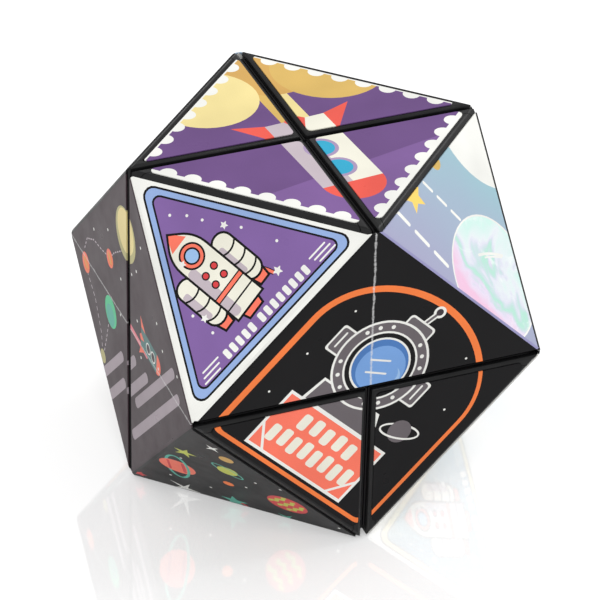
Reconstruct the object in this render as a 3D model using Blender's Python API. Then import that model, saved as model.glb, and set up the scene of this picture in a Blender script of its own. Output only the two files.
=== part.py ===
"""Folding magnetic puzzle: a ring of eight hollow cubes, each with one corner cut off, joined by eight film hinges.

Closed as here, the cut corners face out and the ring is a cuboctahedron: six square faces and eight triangles.
Folded inside out, the same ring is a plain cube. +Z is up and the origin is the middle of the face it stands on.

Every sub-part is modelled once in the template's axes, which start at the puzzle's middle and run out through
one corner-cut cube: its inner squares lie at x, y and z = 0 and its cut corner faces (1, 1, 1). The template
has hinges on its x and y faces and a loose z face. Each cube of the ring is the template, turned and mirrored.
"""

import math

import bmesh
import bpy
from mathutils import Matrix, Vector

# Driving dimensions, in metres.
ACROSS = 0.060  # between two opposite square faces
CLEARANCE = 0.0001  # from any film or label to the dividing plane or hinge axis beside it
FILM = 0.00025  # thickness of the printed film, stickers and labels
GLUE = 0.00005  # between a film and the shell under it
WALL = 0.0015  # shell walls
FIT = 0.0001  # between pieces that are pressed together
EDGE_RADIUS = 0.0008  # the shell's edges, each made as a few flats on this round
EDGE_FLATS = 3
FILM_MARGIN = 0.0005  # shell left bare beside a film's loose edge
STICKER_MARGIN = 0.0008  # shell left bare around a sticker or label
STICKER_RADIUS = 0.0008  # its rounded corners
MAGNET_RADIUS = 0.0030
MAGNET_DEPTH = 0.0020
SEAT_WALL = 0.0010  # ring around a magnet
PEG_RADIUS = 0.0015
PEG_SPAN = (0.0031, 0.0240)  # along the diagonal, from the puzzle's middle
SOCKET_WALL = 0.0012
SOCKET_START = 0.0140

# Worked out from them.
HALF = ACROSS / 2
CELL = HALF + CLEARANCE  # side of the cube of space that each piece folds in
SHELL_LOW = CLEARANCE + FILM + GLUE
SHELL_HIGH = HALF - FILM - GLUE
ROOT_3 = math.sqrt(3)
FILM_SUM = 2 * HALF  # x + y + z on the film over the cut corner
SHELL_SUM = FILM_SUM - (FILM + GLUE) * ROOT_3
INSIDE_LOW = SHELL_LOW + WALL
INSIDE_HIGH = SHELL_HIGH - WALL
INSIDE_SUM = SHELL_SUM - WALL * ROOT_3
BEYOND = 2 * ACROSS  # larger than any piece, for cutters
PEG_SEGMENTS = 12
MAGNET_SEGMENTS = 16
CORNER_STEPS = 3
DIAGONAL = Vector((1, 1, 1)).normalized()
SEAM_MAGNET_AT = CELL / 2  # middle of an inner square
FACE_MAGNET_AT = HALF * (1 - 1 / math.sqrt(2))  # centre of the largest circle in a quarter face

LEFT, RIGHT = -1, 1
FRONT, BACK = -1, 1
BOTTOM, TOP = -1, 1
PIECES = {
    "top_front_left": (LEFT, FRONT, TOP),
    "top_front_right": (RIGHT, FRONT, TOP),
    "top_back_left": (LEFT, BACK, TOP),
    "top_back_right": (RIGHT, BACK, TOP),
    "bottom_front_left": (LEFT, FRONT, BOTTOM),
    "bottom_front_right": (RIGHT, FRONT, BOTTOM),
    "bottom_back_left": (LEFT, BACK, BOTTOM),
    "bottom_back_right": (RIGHT, BACK, BOTTOM),
}
# Where each piece's own hinge line is, the one that joins it to the piece before it in the chain.
LEFT_HINGE = Vector((-CELL, 0, HALF))
RIGHT_HINGE = Vector((CELL, 0, HALF))
HINGE_POINTS = {
    "top_front_left": Vector((0, -CELL, HALF + CELL / 2)),
    "top_front_right": RIGHT_HINGE,
    "top_back_left": Vector((0, CELL, HALF + CELL / 2)),
    "top_back_right": Vector((CELL, CELL / 2, HALF)),
    "bottom_front_left": LEFT_HINGE,
    "bottom_front_right": Vector((CELL / 2, 0, HALF - CELL)),
    "bottom_back_left": LEFT_HINGE,
    "bottom_back_right": RIGHT_HINGE,
}

BLACK = (0.012, 0.012, 0.013)
PURPLE = (0.17, 0.05, 0.32)
NIGHT = (0.035, 0.03, 0.033)
SKY = (0.35, 0.45, 0.75)
NICKEL = (0.72, 0.71, 0.69)


def clear_scene():
    for obj in list(bpy.data.objects):
        bpy.data.objects.remove(obj)


def material(name, colour, roughness, metallic=0.0):
    made = bpy.data.materials.new(name)
    made.use_nodes = True
    shader = made.node_tree.nodes["Principled BSDF"]
    shader.inputs["Base Color"].default_value = (*colour, 1)
    shader.inputs["Roughness"].default_value = roughness
    shader.inputs["Metallic"].default_value = metallic
    return made


# ---- simple solids ----


def block(low, high):
    """A box between two corners. A single number stands for a corner with that x, y and z."""
    low = Vector((low,) * 3) if isinstance(low, float) else Vector(low)
    high = Vector((high,) * 3) if isinstance(high, float) else Vector(high)
    bm = bmesh.new()
    size = Matrix.Diagonal((*(high - low), 1))
    bmesh.ops.create_cube(bm, size=1, matrix=Matrix.Translation((low + high) / 2) @ size)
    return bm


def cut_off(bm, normal, distance):
    """Takes off what lies further along the normal than this distance, and closes the cut."""
    parts = list(bm.verts) + list(bm.edges) + list(bm.faces)
    cut = bmesh.ops.bisect_plane(
        bm, geom=parts, dist=1e-8, plane_co=normal * distance, plane_no=normal, clear_outer=True
    )
    rim = [e for e in cut["geom_cut"] if isinstance(e, bmesh.types.BMEdge)]
    bmesh.ops.contextual_create(bm, geom=rim)
    return bm


def cylinder(start, end, radius, segments):
    """A round bar between two points."""
    start, end = Vector(start), Vector(end)
    turn = (end - start).to_track_quat("Z", "Y").to_matrix().to_4x4()
    bm = bmesh.new()
    bmesh.ops.create_cone(
        bm,
        cap_ends=True,
        segments=segments,
        radius1=radius,
        radius2=radius,
        depth=(end - start).length,
        matrix=Matrix.Translation((start + end) / 2) @ turn,
    )
    return bm


def helper(bm, name):
    """A mesh object for a Boolean, from a bmesh that it uses up."""
    bmesh.ops.recalc_face_normals(bm, faces=bm.faces)
    mesh = bpy.data.meshes.new(name)
    bm.to_mesh(mesh)
    bm.free()
    obj = bpy.data.objects.new(name, mesh)
    bpy.context.scene.collection.objects.link(obj)
    obj.hide_render = True
    obj.display_type = "WIRE"
    return obj


def combine(base, *steps):
    """The mesh of base after each (operation, solid) step. Every solid is a bmesh, and is used up."""
    body = helper(base, "template")
    tools = []
    for operation, solid in steps:
        tool = helper(solid, "tool")
        tools.append(tool)
        modifier = body.modifiers.new(operation, "BOOLEAN")
        modifier.operation = operation
        modifier.solver = "EXACT"
        modifier.object = tool
    bpy.context.view_layer.update()
    evaluated = body.evaluated_get(bpy.context.evaluated_depsgraph_get())
    mesh = bpy.data.meshes.new_from_object(evaluated)
    for obj in (body, *tools):
        bpy.data.objects.remove(obj)
    return mesh


def mesh_of(bm):
    bmesh.ops.recalc_face_normals(bm, faces=bm.faces)
    mesh = bpy.data.meshes.new("template")
    bm.to_mesh(mesh)
    bm.free()
    return mesh


def rounded(corners, radius):
    """Points of a convex flat outline with its corners rounded. corners run anticlockwise, as (x, y)."""
    points = []
    count = len(corners)
    for i, corner in enumerate(corners):
        corner = Vector(corner)
        to_last = (Vector(corners[i - 1]) - corner).normalized()
        to_next = (Vector(corners[(i + 1) % count]) - corner).normalized()
        half_angle = to_last.angle(to_next) / 2
        centre = corner + (to_last + to_next).normalized() * (radius / math.sin(half_angle))
        start = corner + to_last * (radius / math.tan(half_angle)) - centre
        sweep = math.pi - 2 * half_angle
        for step in range(CORNER_STEPS + 1):
            angle = sweep * step / CORNER_STEPS
            turned = Matrix.Rotation(angle, 2) @ start
            points.append(centre + turned)
    return points


def plate(outline, low, high):
    """A flat plate with this (x, y) outline, from z = low to z = high."""
    bm = bmesh.new()
    lower = [bm.verts.new((*p, low)) for p in outline]
    upper = [bm.verts.new((*p, high)) for p in outline]
    bm.faces.new(lower[::-1])
    bm.faces.new(upper)
    count = len(outline)
    for i in range(count):
        after = (i + 1) % count
        bm.faces.new((lower[i], lower[after], upper[after], upper[i]))
    return bm


# ---- the sub-parts, in the template's axes ----


def corner_cut_cube():
    """The outside of one closed shell: a cube with its (1, 1, 1) corner cut off and its edges rounded in flats."""
    axes = (Vector((1, 0, 0)), Vector((0, 1, 0)), Vector((0, 0, 1)))
    cut = (DIAGONAL, SHELL_SUM / ROOT_3)
    outer = [(axis, SHELL_HIGH) for axis in axes]
    inner = [(-axis, -SHELL_LOW) for axis in axes]
    edges = []
    for i in range(3):
        edges += [(outer[i], cut), (inner[i], inner[i - 1]), (outer[i], inner[i - 1]), (outer[i], inner[i - 2])]
    bm = cut_off(block(SHELL_LOW, SHELL_HIGH), *cut)
    for (normal_a, distance_a), (normal_b, distance_b) in edges:
        for step in range(EDGE_FLATS):
            share = (step + 1) / (EDGE_FLATS + 1)
            normal = normal_a.slerp(normal_b, share)
            # normal = a * normal_a + b * normal_b, which gives its distance from those of the two sides
            between = normal_a.dot(normal_b)
            a = (normal.dot(normal_a) - between * normal.dot(normal_b)) / (1 - between**2)
            b = (normal.dot(normal_b) - between * normal.dot(normal_a)) / (1 - between**2)
            distance = a * (distance_a - EDGE_RADIUS) + b * (distance_b - EDGE_RADIUS) + EDGE_RADIUS
            cut_off(bm, normal, distance)
    return bm


def magnet_seat(middle, outward):
    """The (solid ring, bore) that hold a magnet. middle is on the wall's inner surface, outward points inside."""
    middle, outward = Vector(middle), Vector(outward)
    sunk = middle - outward * (WALL / 2)
    rim = middle + outward * (MAGNET_DEPTH + FIT)
    ring = cylinder(sunk, rim, MAGNET_RADIUS + FIT + SEAT_WALL, MAGNET_SEGMENTS)
    bore = cylinder(middle, rim + outward * WALL, MAGNET_RADIUS + FIT, MAGNET_SEGMENTS)
    return ring, bore


def magnet(middle, outward):
    """A disc magnet in the seat at that place."""
    middle, outward = Vector(middle), Vector(outward)
    return mesh_of(
        cylinder(middle + outward * FIT, middle + outward * (FIT + MAGNET_DEPTH), MAGNET_RADIUS, MAGNET_SEGMENTS)
    )


SEAM_SEAT = ((SEAM_MAGNET_AT, INSIDE_LOW, SEAM_MAGNET_AT), (0, 1, 0))
FACE_SEAT = ((FACE_MAGNET_AT, FACE_MAGNET_AT, INSIDE_HIGH), (0, 0, -1))


def inner_shell():
    """The three square walls that meet at the puzzle's middle, with the peg and one magnet seat."""
    ring, bore = magnet_seat(*SEAM_SEAT)
    peg = cylinder(DIAGONAL * PEG_SPAN[0], DIAGONAL * PEG_SPAN[1], PEG_RADIUS, PEG_SEGMENTS)
    return combine(
        corner_cut_cube(),
        ("DIFFERENCE", block(INSIDE_LOW, BEYOND)),
        ("UNION", peg),
        ("UNION", ring),
        ("DIFFERENCE", bore),
    )


def outer_shell():
    """The cover: three half-square walls and the triangle over the cut corner, with the socket and a magnet seat."""
    ring, bore = magnet_seat(*FACE_SEAT)
    hole_radius = PEG_RADIUS + FIT
    tube_end = INSIDE_SUM / ROOT_3 + WALL / 2
    hole_ends = (SOCKET_START - WALL, PEG_SPAN[1] + WALL)
    tube = cylinder(DIAGONAL * SOCKET_START, DIAGONAL * tube_end, hole_radius + SOCKET_WALL, PEG_SEGMENTS)
    hole = cylinder(DIAGONAL * hole_ends[0], DIAGONAL * hole_ends[1], hole_radius, PEG_SEGMENTS)
    hollow = cut_off(block(-BEYOND, INSIDE_HIGH), DIAGONAL, INSIDE_SUM / ROOT_3)
    return combine(
        corner_cut_cube(),
        ("INTERSECT", block(INSIDE_LOW + FIT, BEYOND)),
        ("DIFFERENCE", hollow),
        ("UNION", ring),
        ("DIFFERENCE", bore),
        ("UNION", tube),
        ("DIFFERENCE", hole),
    )


def on_fold(face_axis, fixed_axis, fixed_value, depth):
    """The point under a film's fold over the cut corner, on the face at face_axis, this deep in the film."""
    point = [0.0] * 3
    point[face_axis] = HALF - depth
    point[fixed_axis] = fixed_value
    rest = 3 - face_axis - fixed_axis
    point[rest] = FILM_SUM - depth * ROOT_3 - point[face_axis] - fixed_value
    return point


def hinge_film():
    """The printed film: the x and y quarter faces and the triangle between them, as one folded sheet.

    It stops at the two hinge lines, z = 0 on the x face and x = 0 on the y face, where the next piece's film goes on.
    """
    x, y, z = 0, 1, 2
    loose = SHELL_LOW + FILM_MARGIN
    bm = bmesh.new()
    skins = []
    for depth in (0.0, FILM):
        face = HALF - depth
        points = {
            "x_middle": (face, loose, CLEARANCE),
            "x_hinge_end": on_fold(x, z, CLEARANCE, depth),
            "x_loose_end": on_fold(x, y, loose, depth),
            "y_loose_end": on_fold(y, z, HALF - loose, depth),
            "y_hinge_end": (CLEARANCE, face, HALF - loose),
            "y_middle": (CLEARANCE, face, loose),
            "y_corner": on_fold(y, z, loose, depth),
        }
        skins.append({name: bm.verts.new(point) for name, point in points.items()})
    panels = (
        ("x_middle", "x_hinge_end", "x_loose_end"),
        ("x_hinge_end", "y_corner", "y_loose_end", "x_loose_end"),
        ("y_corner", "y_middle", "y_hinge_end", "y_loose_end"),
    )
    rim = ("x_middle", "x_hinge_end", "y_corner", "y_middle", "y_hinge_end", "y_loose_end", "x_loose_end")
    outer, inner = skins
    for panel in panels:
        bm.faces.new([outer[name] for name in panel])
        bm.faces.new([inner[name] for name in reversed(panel)])
    for i, name in enumerate(rim):
        last = rim[i - 1]
        bm.faces.new((outer[last], inner[last], inner[name], outer[name]))
    return mesh_of(bm)


def face_sticker():
    """The separate sticker on the z quarter face, which no hinge touches."""
    low = SHELL_LOW + STICKER_MARGIN
    far = HALF - STICKER_MARGIN * math.sqrt(2) - low
    outline = rounded(((low, low), (far, low), (low, far)), STICKER_RADIUS)
    return mesh_of(plate(outline, HALF - FILM, HALF))


def inner_label():
    """One label folded over the three inner squares. It is cut along the edge between its x and z squares."""
    under = CLEARANCE + FILM
    far = SHELL_HIGH - STICKER_MARGIN
    sheet = block(CLEARANCE, far)
    free_edges = [
        e for e in sheet.edges if sum(all(v.co[axis] > under for v in e.verts) for axis in range(3)) == 2
    ]
    bmesh.ops.bevel(
        sheet, geom=free_edges, offset=STICKER_RADIUS, offset_type="OFFSET", segments=CORNER_STEPS, affect="EDGES"
    )
    slit = block((-BEYOND, under, under), (under + GLUE, BEYOND, under + 2 * FIT))
    return combine(sheet, ("DIFFERENCE", block(under, BEYOND)), ("DIFFERENCE", slit))


# ---- the ring of eight ----


def template_to_world(signs):
    """Turns and mirrors the template into one corner of the puzzle."""
    mirror = Matrix.Diagonal((*signs, 1))
    turn = Matrix.Identity(4)
    if signs[2] == BOTTOM:
        # the lower pieces have their loose face at the front or back, and their hinges on the side and underneath
        turn = Matrix(((0, 1, 0, 0), (0, 0, 1, 0), (1, 0, 0, 0), (0, 0, 0, 1)))
    return Matrix.Translation((0, 0, HALF)) @ mirror @ turn


def add_piece(name, signs, templates, finishes):
    """One corner-cut cube of the ring, as separate objects under an empty on its hinge line."""
    axis = bpy.data.objects.new(name + "_hinge_axis", None)
    axis.location = HINGE_POINTS[name]
    bpy.context.scene.collection.objects.link(axis)
    to_axis = Matrix.Translation(-HINGE_POINTS[name]) @ template_to_world(signs)
    for sub_part, template in templates.items():
        mesh = template.copy()
        mesh.transform(to_axis)
        if to_axis.determinant() < 0:
            mesh.flip_normals()
        mesh.name = name + "_" + sub_part
        mesh.materials.clear()
        mesh.materials.append(finishes[sub_part])
        mesh.shade_smooth()
        mesh.set_sharp_from_angle(angle=math.radians(30))
        obj = bpy.data.objects.new(name + "_" + sub_part, mesh)
        obj.parent = axis
        bpy.context.scene.collection.objects.link(obj)


def main():
    clear_scene()
    shell = material("black_shell", BLACK, 0.35)
    purple = material("purple_print", PURPLE, 0.4)
    night = material("night_print", NIGHT, 0.4)
    sky = material("sky_print", SKY, 0.4)
    nickel = material("nickel", NICKEL, 0.25, metallic=1.0)
    templates = {
        "inner_shell": inner_shell(),
        "outer_shell": outer_shell(),
        "hinge_film": hinge_film(),
        "face_sticker": face_sticker(),
        "inner_label": inner_label(),
        "seam_magnet": magnet(*SEAM_SEAT),
        "face_magnet": magnet(*FACE_SEAT),
    }
    films = {"top_front_left": purple, "top_front_right": sky, "top_back_left": sky}
    for name, signs in PIECES.items():
        finishes = {
            "inner_shell": shell,
            "outer_shell": shell,
            "hinge_film": films.get(name, night),
            "face_sticker": purple if signs[2] == TOP else night,
            "inner_label": sky if signs[0] == LEFT else purple,
            "seam_magnet": nickel,
            "face_magnet": nickel,
        }
        add_piece(name, signs, templates, finishes)


main()
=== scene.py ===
"""The looks of the folding magnetic puzzle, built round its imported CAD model.

The black shells and the magnets are the CAD nodes with better materials. Every printed film, sticker and
label is made here: a flat outline is cut up along the edges of its picture, so that the print is crisp at
any size, and given the film's thickness. Pictures are drawn in units of half a square side's edge, with the
middle of the face at (0, 0).
"""

import math

import bpy
from mathutils import Matrix, Vector
from mathutils.geometry import delaunay_2d_cdt


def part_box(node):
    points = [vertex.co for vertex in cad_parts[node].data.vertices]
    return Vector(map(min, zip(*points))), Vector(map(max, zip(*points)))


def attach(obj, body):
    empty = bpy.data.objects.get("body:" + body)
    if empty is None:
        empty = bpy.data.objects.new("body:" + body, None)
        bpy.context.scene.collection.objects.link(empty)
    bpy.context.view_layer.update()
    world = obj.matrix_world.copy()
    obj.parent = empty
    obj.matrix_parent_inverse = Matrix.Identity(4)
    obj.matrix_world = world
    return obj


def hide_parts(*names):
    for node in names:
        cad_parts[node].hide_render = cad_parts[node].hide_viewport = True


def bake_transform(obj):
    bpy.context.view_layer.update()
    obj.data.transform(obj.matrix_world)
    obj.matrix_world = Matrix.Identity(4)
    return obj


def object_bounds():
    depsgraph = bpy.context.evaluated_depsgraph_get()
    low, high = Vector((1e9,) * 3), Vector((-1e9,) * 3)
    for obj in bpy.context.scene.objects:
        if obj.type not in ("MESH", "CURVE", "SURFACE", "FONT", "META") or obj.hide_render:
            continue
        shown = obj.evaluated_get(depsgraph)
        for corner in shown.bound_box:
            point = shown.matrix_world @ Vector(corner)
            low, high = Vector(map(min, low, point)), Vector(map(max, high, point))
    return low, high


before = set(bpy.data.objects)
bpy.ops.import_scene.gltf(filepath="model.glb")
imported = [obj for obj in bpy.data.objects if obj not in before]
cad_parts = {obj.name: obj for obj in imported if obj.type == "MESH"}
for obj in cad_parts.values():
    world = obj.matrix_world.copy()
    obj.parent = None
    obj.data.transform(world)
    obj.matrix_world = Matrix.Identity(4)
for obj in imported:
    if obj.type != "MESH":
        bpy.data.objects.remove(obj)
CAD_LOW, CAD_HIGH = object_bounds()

# ---- sizes, in millimetres ----

METRE = 0.001
HALF = (CAD_HIGH.x - CAD_LOW.x) / 2 / METRE  # from the puzzle's middle to a square side
UNIT = HALF / math.sqrt(2)  # half the edge of a square side
ROOT_3 = math.sqrt(3)
FOLD = 1.0  # radius of the film where it turns over an edge
FOLD_STEPS = 4
FILM = 0.25
WELD = 0.002  # points closer than this are one point
HINGE_GAP = 0.05  # between films that meet at a crease but aren't one sheet
FILM_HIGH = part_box("top_front_left_hinge_film")[1]
LOOSE = (CAD_HIGH.z - FILM_HIGH.z) / METRE  # from a film's loose edge to the dividing plane
STICKER_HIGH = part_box("top_front_left_face_sticker")[1]
STICKER_EDGE = -STICKER_HIGH.x / METRE  # from a sticker to the dividing planes
STICKER_RIDGE = 0.68  # from a sticker to the cube's cut corner
STICKER_DROP = 0.12  # from a sticker up to the hinge films' level
STICKER_THICKNESS = 0.16
STICKER_RADIUS = 0.8
LABEL_LOW, LABEL_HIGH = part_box("top_back_right_inner_label")
LABEL_FACE = LABEL_LOW.x / METRE  # from an inner label to the dividing plane
LABEL_FAR = LABEL_HIGH.x / METRE
LABEL_RADIUS = 1.0
BEND = 0.45  # half the width of the film that bends at a crease
BEND_LINES = (0.0, 0.15, 0.3, BEND)
FLAT_REACH = HALF - (ROOT_3 - 1) * FOLD  # across + along, at the end of a quarter face's flat part
TRIANGLE_FOLD = HALF - FOLD + FOLD / ROOT_3  # where the cut corner's flat part ends, along a hinge axis
NO_CREASE = 200.0  # added to a texture coordinate so that no crease shows

LEFT, RIGHT, FRONT, BACK, BOTTOM, TOP = -1, 1, -1, 1, -1, 1
PIECES = {
    f"{z_name}_{y_name}_{x_name}": (x, y, z)
    for z_name, z in (("top", TOP), ("bottom", BOTTOM))
    for y_name, y in (("front", FRONT), ("back", BACK))
    for x_name, x in (("left", LEFT), ("right", RIGHT))
}
# Each square side: outward normal, and the viewer's right and up. Its corners are along right and up.
SQUARES = {
    "front": ((0, -1, 0), (1, 0, 0), (0, 0, 1)),
    "back": ((0, 1, 0), (-1, 0, 0), (0, 0, 1)),
    "left": ((-1, 0, 0), (0, -1, 0), (0, 0, 1)),
    "right": ((1, 0, 0), (0, 1, 0), (0, 0, 1)),
    "top": ((0, 0, 1), (1, 0, 0), (0, 1, 0)),
    "bottom": ((0, 0, -1), (1, 0, 0), (0, -1, 0)),
}
# Each hinge: its square side, its crease's direction from that side's middle (right, up), and its two cubes.
# The second cube turns the right-handed way about +X, +Y or +Z when the hinge opens.
HINGES = {
    "front_hinge_film": ("front", (0, 1), "top_front_right", "top_front_left"),
    "back_hinge_film": ("back", (0, 1), "top_back_left", "top_back_right"),
    "left_front_hinge_film": ("left", (1, 0), "top_front_left", "bottom_front_left"),
    "left_back_hinge_film": ("left", (-1, 0), "top_back_left", "bottom_back_left"),
    "right_front_hinge_film": ("right", (-1, 0), "bottom_front_right", "top_front_right"),
    "right_back_hinge_film": ("right", (1, 0), "bottom_back_right", "top_back_right"),
    "bottom_right_hinge_film": ("bottom", (1, 0), "bottom_back_right", "bottom_front_right"),
}

# ---- print colours, as a printer would mix them (sRGB) ----

COLOURS = {
    "white": (0.93, 0.93, 0.91),
    "ivory": (0.93, 0.92, 0.86),
    "pale_grey": (0.76, 0.71, 0.74),
    "grey": (0.42, 0.395, 0.41),
    "dark_grey": (0.26, 0.23, 0.25),
    "bar_grey": (0.66, 0.61, 0.64),
    "black": (0.085, 0.082, 0.088),
    "charcoal": (0.27, 0.22, 0.24),
    "night": (0.12, 0.117, 0.122),
    "sign_purple": (0.51, 0.39, 0.63),
    "purple": (0.49, 0.36, 0.59),
    "deep_purple": (0.42, 0.30, 0.51),
    "navy": (0.13, 0.17, 0.36),
    "teal_sky": (0.30, 0.56, 0.66),
    "cream": (0.93, 0.86, 0.60),
    "yellow": (0.97, 0.82, 0.42),
    "gold": (0.82, 0.65, 0.36),
    "light_orange": (0.84, 0.70, 0.39),
    "orange": (0.96, 0.50, 0.26),
    "coral": (0.98, 0.48, 0.39),
    "tomato": (0.91, 0.36, 0.31),
    "red": (0.84, 0.27, 0.28),
    "pink": (0.93, 0.50, 0.55),
    "blue": (0.48, 0.65, 0.88),
    "deep_blue": (0.31, 0.49, 0.74),
    "light_blue": (0.62, 0.76, 0.92),
    "border_blue": (0.58, 0.68, 0.86),
    "window_blue": (0.20, 0.66, 0.80),
    "lilac": (0.66, 0.58, 0.72),
    "lavender": (0.59, 0.58, 0.74),
    "green": (0.33, 0.80, 0.58),
    "lime": (0.77, 0.80, 0.35),
    "teal": (0.34, 0.50, 0.49),
    "mint": (0.36, 0.72, 0.64),
    "olive": (0.74, 0.71, 0.50),
}


def linear(colour):
    return [c / 12.92 if c <= 0.04045 else ((c + 0.055) / 1.055) ** 2.4 for c in colour]


def opaque(colour):
    return (*linear(colour), 1)


# ---- shader helpers ----


class Nodes:
    """A short way to add and join the nodes of one material."""

    def __init__(self, name):
        self.material = bpy.data.materials.new(name)
        self.material.use_nodes = True
        self.tree = self.material.node_tree
        self.shader = self.tree.nodes["Principled BSDF"]

    def feed(self, socket, value):
        """Links the socket to another node's output, or sets it to a constant."""
        if isinstance(value, bpy.types.NodeSocket):
            self.tree.links.new(value, socket)
        else:
            socket.default_value = value

    def add(self, kind, values=None, **settings):
        node = self.tree.nodes.new(kind)
        for key, value in settings.items():
            setattr(node, key, value)
        for key, value in (values or {}).items():
            self.feed(node.inputs[key], value)
        return node

    def place(self):
        return self.add("ShaderNodeTexCoord").outputs["Object"]

    def split(self, vector):
        return self.add("ShaderNodeSeparateXYZ", {"Vector": vector}).outputs

    def math(self, operation, *values):
        node = self.add("ShaderNodeMath", dict(enumerate(values)), operation=operation)
        return node.outputs[0]

    def noise(self, vector, scale, detail=2.0, roughness=0.5, distortion=0.0):
        values = {"Vector": vector, "Scale": scale, "Detail": detail}
        values |= {"Roughness": roughness, "Distortion": distortion}
        return self.add("ShaderNodeTexNoise", values).outputs["Fac"]

    def remap(self, value, from_low, from_high, to_low=0.0, to_high=1.0):
        values = {"Value": value, 1: from_low, 2: from_high, 3: to_low, 4: to_high}
        return self.add("ShaderNodeMapRange", values).outputs["Result"]

    def drift(self, low, high, *noise):
        """Noise that mostly stays between low and high."""
        return self.remap(self.noise(*noise), 0.3, 0.7, low, high)

    def mix(self, factor, a, b, blend="MIX"):
        node = self.add("ShaderNodeMix", data_type="RGBA", blend_type=blend)
        for socket, value in ((0, factor), (6, a), (7, b)):
            self.feed(node.inputs[socket], value)
        return node.outputs[2]

    def ramp(self, value, stops):
        node = self.add("ShaderNodeValToRGB", {"Fac": value})
        elements = node.color_ramp.elements
        while len(elements) < len(stops):
            elements.new(0.5)
        for element, (place, colour) in zip(elements, stops):
            element.position = place
            element.color = opaque(colour)
        return node.outputs["Color"]

    def set(self, **values):
        for key, value in values.items():
            self.feed(self.shader.inputs[key.replace("_", " ")], value)

    def bump(self, height, strength, distance):
        values = {"Height": height, "Strength": strength, "Distance": distance}
        self.set(Normal=self.add("ShaderNodeBump", values).outputs["Normal"])


def print_material(name, picture):
    """Ink under a clear laminate: faint grain, a soft uneven gloss, and white wear along a crease at u = 0.

    picture(nodes, uv) gives the ink's colour socket. uv is in millimetres over the film.
    """
    n = Nodes("print_" + name)
    uv = n.add("ShaderNodeUVMap", uv_map="print").outputs["UV"]
    grain = n.drift(0.94, 1.05, uv, 9.0, 3.0)
    grain = n.add("ShaderNodeCombineColor", {0: grain, 1: grain, 2: grain}).outputs[0]
    ink = n.mix(1.0, picture(n, uv), grain, "MULTIPLY")
    u, v, _ = n.split(uv)
    along = n.add("ShaderNodeCombineXYZ", {"X": 0.0, "Y": v, "Z": 0.0}).outputs[0]
    width = n.drift(0.10, 0.38, along, 0.9, 3.0, 0.7)
    across = n.math("ABSOLUTE", n.math("ADD", u, n.drift(-0.08, 0.08, along, 0.25, 1.0)))
    flaked = n.remap(n.noise(uv, 2.6, 3.0, 0.6), 0.35, 0.55, 0.25, 0.68)
    wear = n.math("MULTIPLY", n.remap(n.math("DIVIDE", across, width), 0.2, 1.0, 1.0, 0.0), flaked)
    gloss = n.math("ADD", n.drift(0.26, 0.40, uv, 0.12, 3.0, 0.6), n.math("MULTIPLY", wear, 0.3))
    n.set(Base_Color=n.mix(wear, ink, opaque((0.86, 0.86, 0.86))), Roughness=gloss)
    n.set(Specular_IOR_Level=0.13, IOR=1.46)
    ripple = n.math("ADD", n.noise(uv, 0.35, 2.0), n.math("MULTIPLY", n.noise(uv, 5.0, 2.0), 0.08))
    n.bump(ripple, 0.12, 0.00008)
    return n.material


def plain_ink(name):
    """One ink: the colour drifts by a few per cent over the sheet, as a print run does."""

    def picture(n, uv):
        rgb = linear(COLOURS[name])
        darker = [c * 0.86 for c in rgb]
        return n.mix(n.remap(n.noise(uv, 0.07, 2.0), 0.35, 0.65), (*darker, 1), (*rgb, 1))

    return print_material(name, picture)


def sky_ink():
    """A pastel sky that goes from lavender to a pale blue-green."""

    def picture(n, uv):
        height = n.math("ADD", n.split(uv)[1], n.drift(-3.0, 3.0, uv, 0.05, 2.0))
        stops = ((0.0, (0.63, 0.63, 0.74)), (0.45, (0.62, 0.68, 0.76)), (0.8, (0.59, 0.73, 0.77)))
        return n.ramp(n.remap(height, -14.0, 18.0), stops)

    return print_material("sky", picture)


def pearl_ink():
    """An iridescent planet: pink below, lavender and white above, with a mint streak across the middle."""

    def picture(n, uv):
        u, v, _ = n.split(uv)
        slant = n.math("ADD", v, n.math("MULTIPLY", n.math("SUBTRACT", u, NO_CREASE), 0.265))
        height = n.math("ADD", slant, n.drift(-5.5, 5.5, uv, 0.10, 3.0, 0.55, 0.8))
        stops = (
            (0.0, (0.90, 0.74, 0.84)),
            (0.3, (0.87, 0.83, 0.90)),
            (0.5, (0.81, 0.76, 0.89)),
            (0.72, (0.86, 0.89, 0.90)),
            (1.0, (0.78, 0.90, 0.87)),
        )
        soft = n.ramp(n.remap(height, -11.0, 6.0), stops)
        off_streak = n.math("ABSOLUTE", n.math("ADD", n.math("MULTIPLY", height, 0.55), 1.5))
        soft = n.mix(n.remap(off_streak, 0.2, 1.5, 0.8, 0.0), soft, opaque((0.66, 0.88, 0.78)))
        gleam = n.remap(n.noise(uv, 0.2, 4.0, 0.55, 1.4), 0.56, 0.68, 0.0, 0.6)
        return n.mix(gleam, soft, opaque((0.93, 0.94, 0.94)))

    return print_material("pearl", picture)


def moulded_plastic(name, colour, roughness):
    """Satin injection-moulded plastic with a fine even texture, worn a little smoother in patches."""
    n = Nodes(name)
    place = n.place()
    tone = n.remap(n.noise(place, 160.0, 2.0), 0.35, 0.65)
    lighter = [c * 1.5 + 0.002 for c in linear(colour)]
    n.set(Base_Color=n.mix(tone, opaque(colour), (*lighter, 1)))
    n.set(Roughness=n.drift(roughness - 0.07, roughness + 0.07, place, 240.0, 3.0))
    n.set(Specular_IOR_Level=0.25, IOR=1.5)
    n.bump(n.noise(place, 5200.0, 2.0), 0.18, 0.00002)
    return n.material


def nickel_plate():
    n = Nodes("nickel_plate")
    place = n.place()
    stained = n.remap(n.noise(place, 700.0, 3.0), 0.4, 0.7)
    n.set(Base_Color=n.mix(stained, (0.72, 0.70, 0.66, 1), (0.58, 0.56, 0.52, 1)), Metallic=1.0)
    n.set(Roughness=n.drift(0.18, 0.32, place, 2500.0, 2.0))
    n.bump(n.noise(place, 9000.0, 1.0), 0.1, 0.00002)
    return n.material


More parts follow.
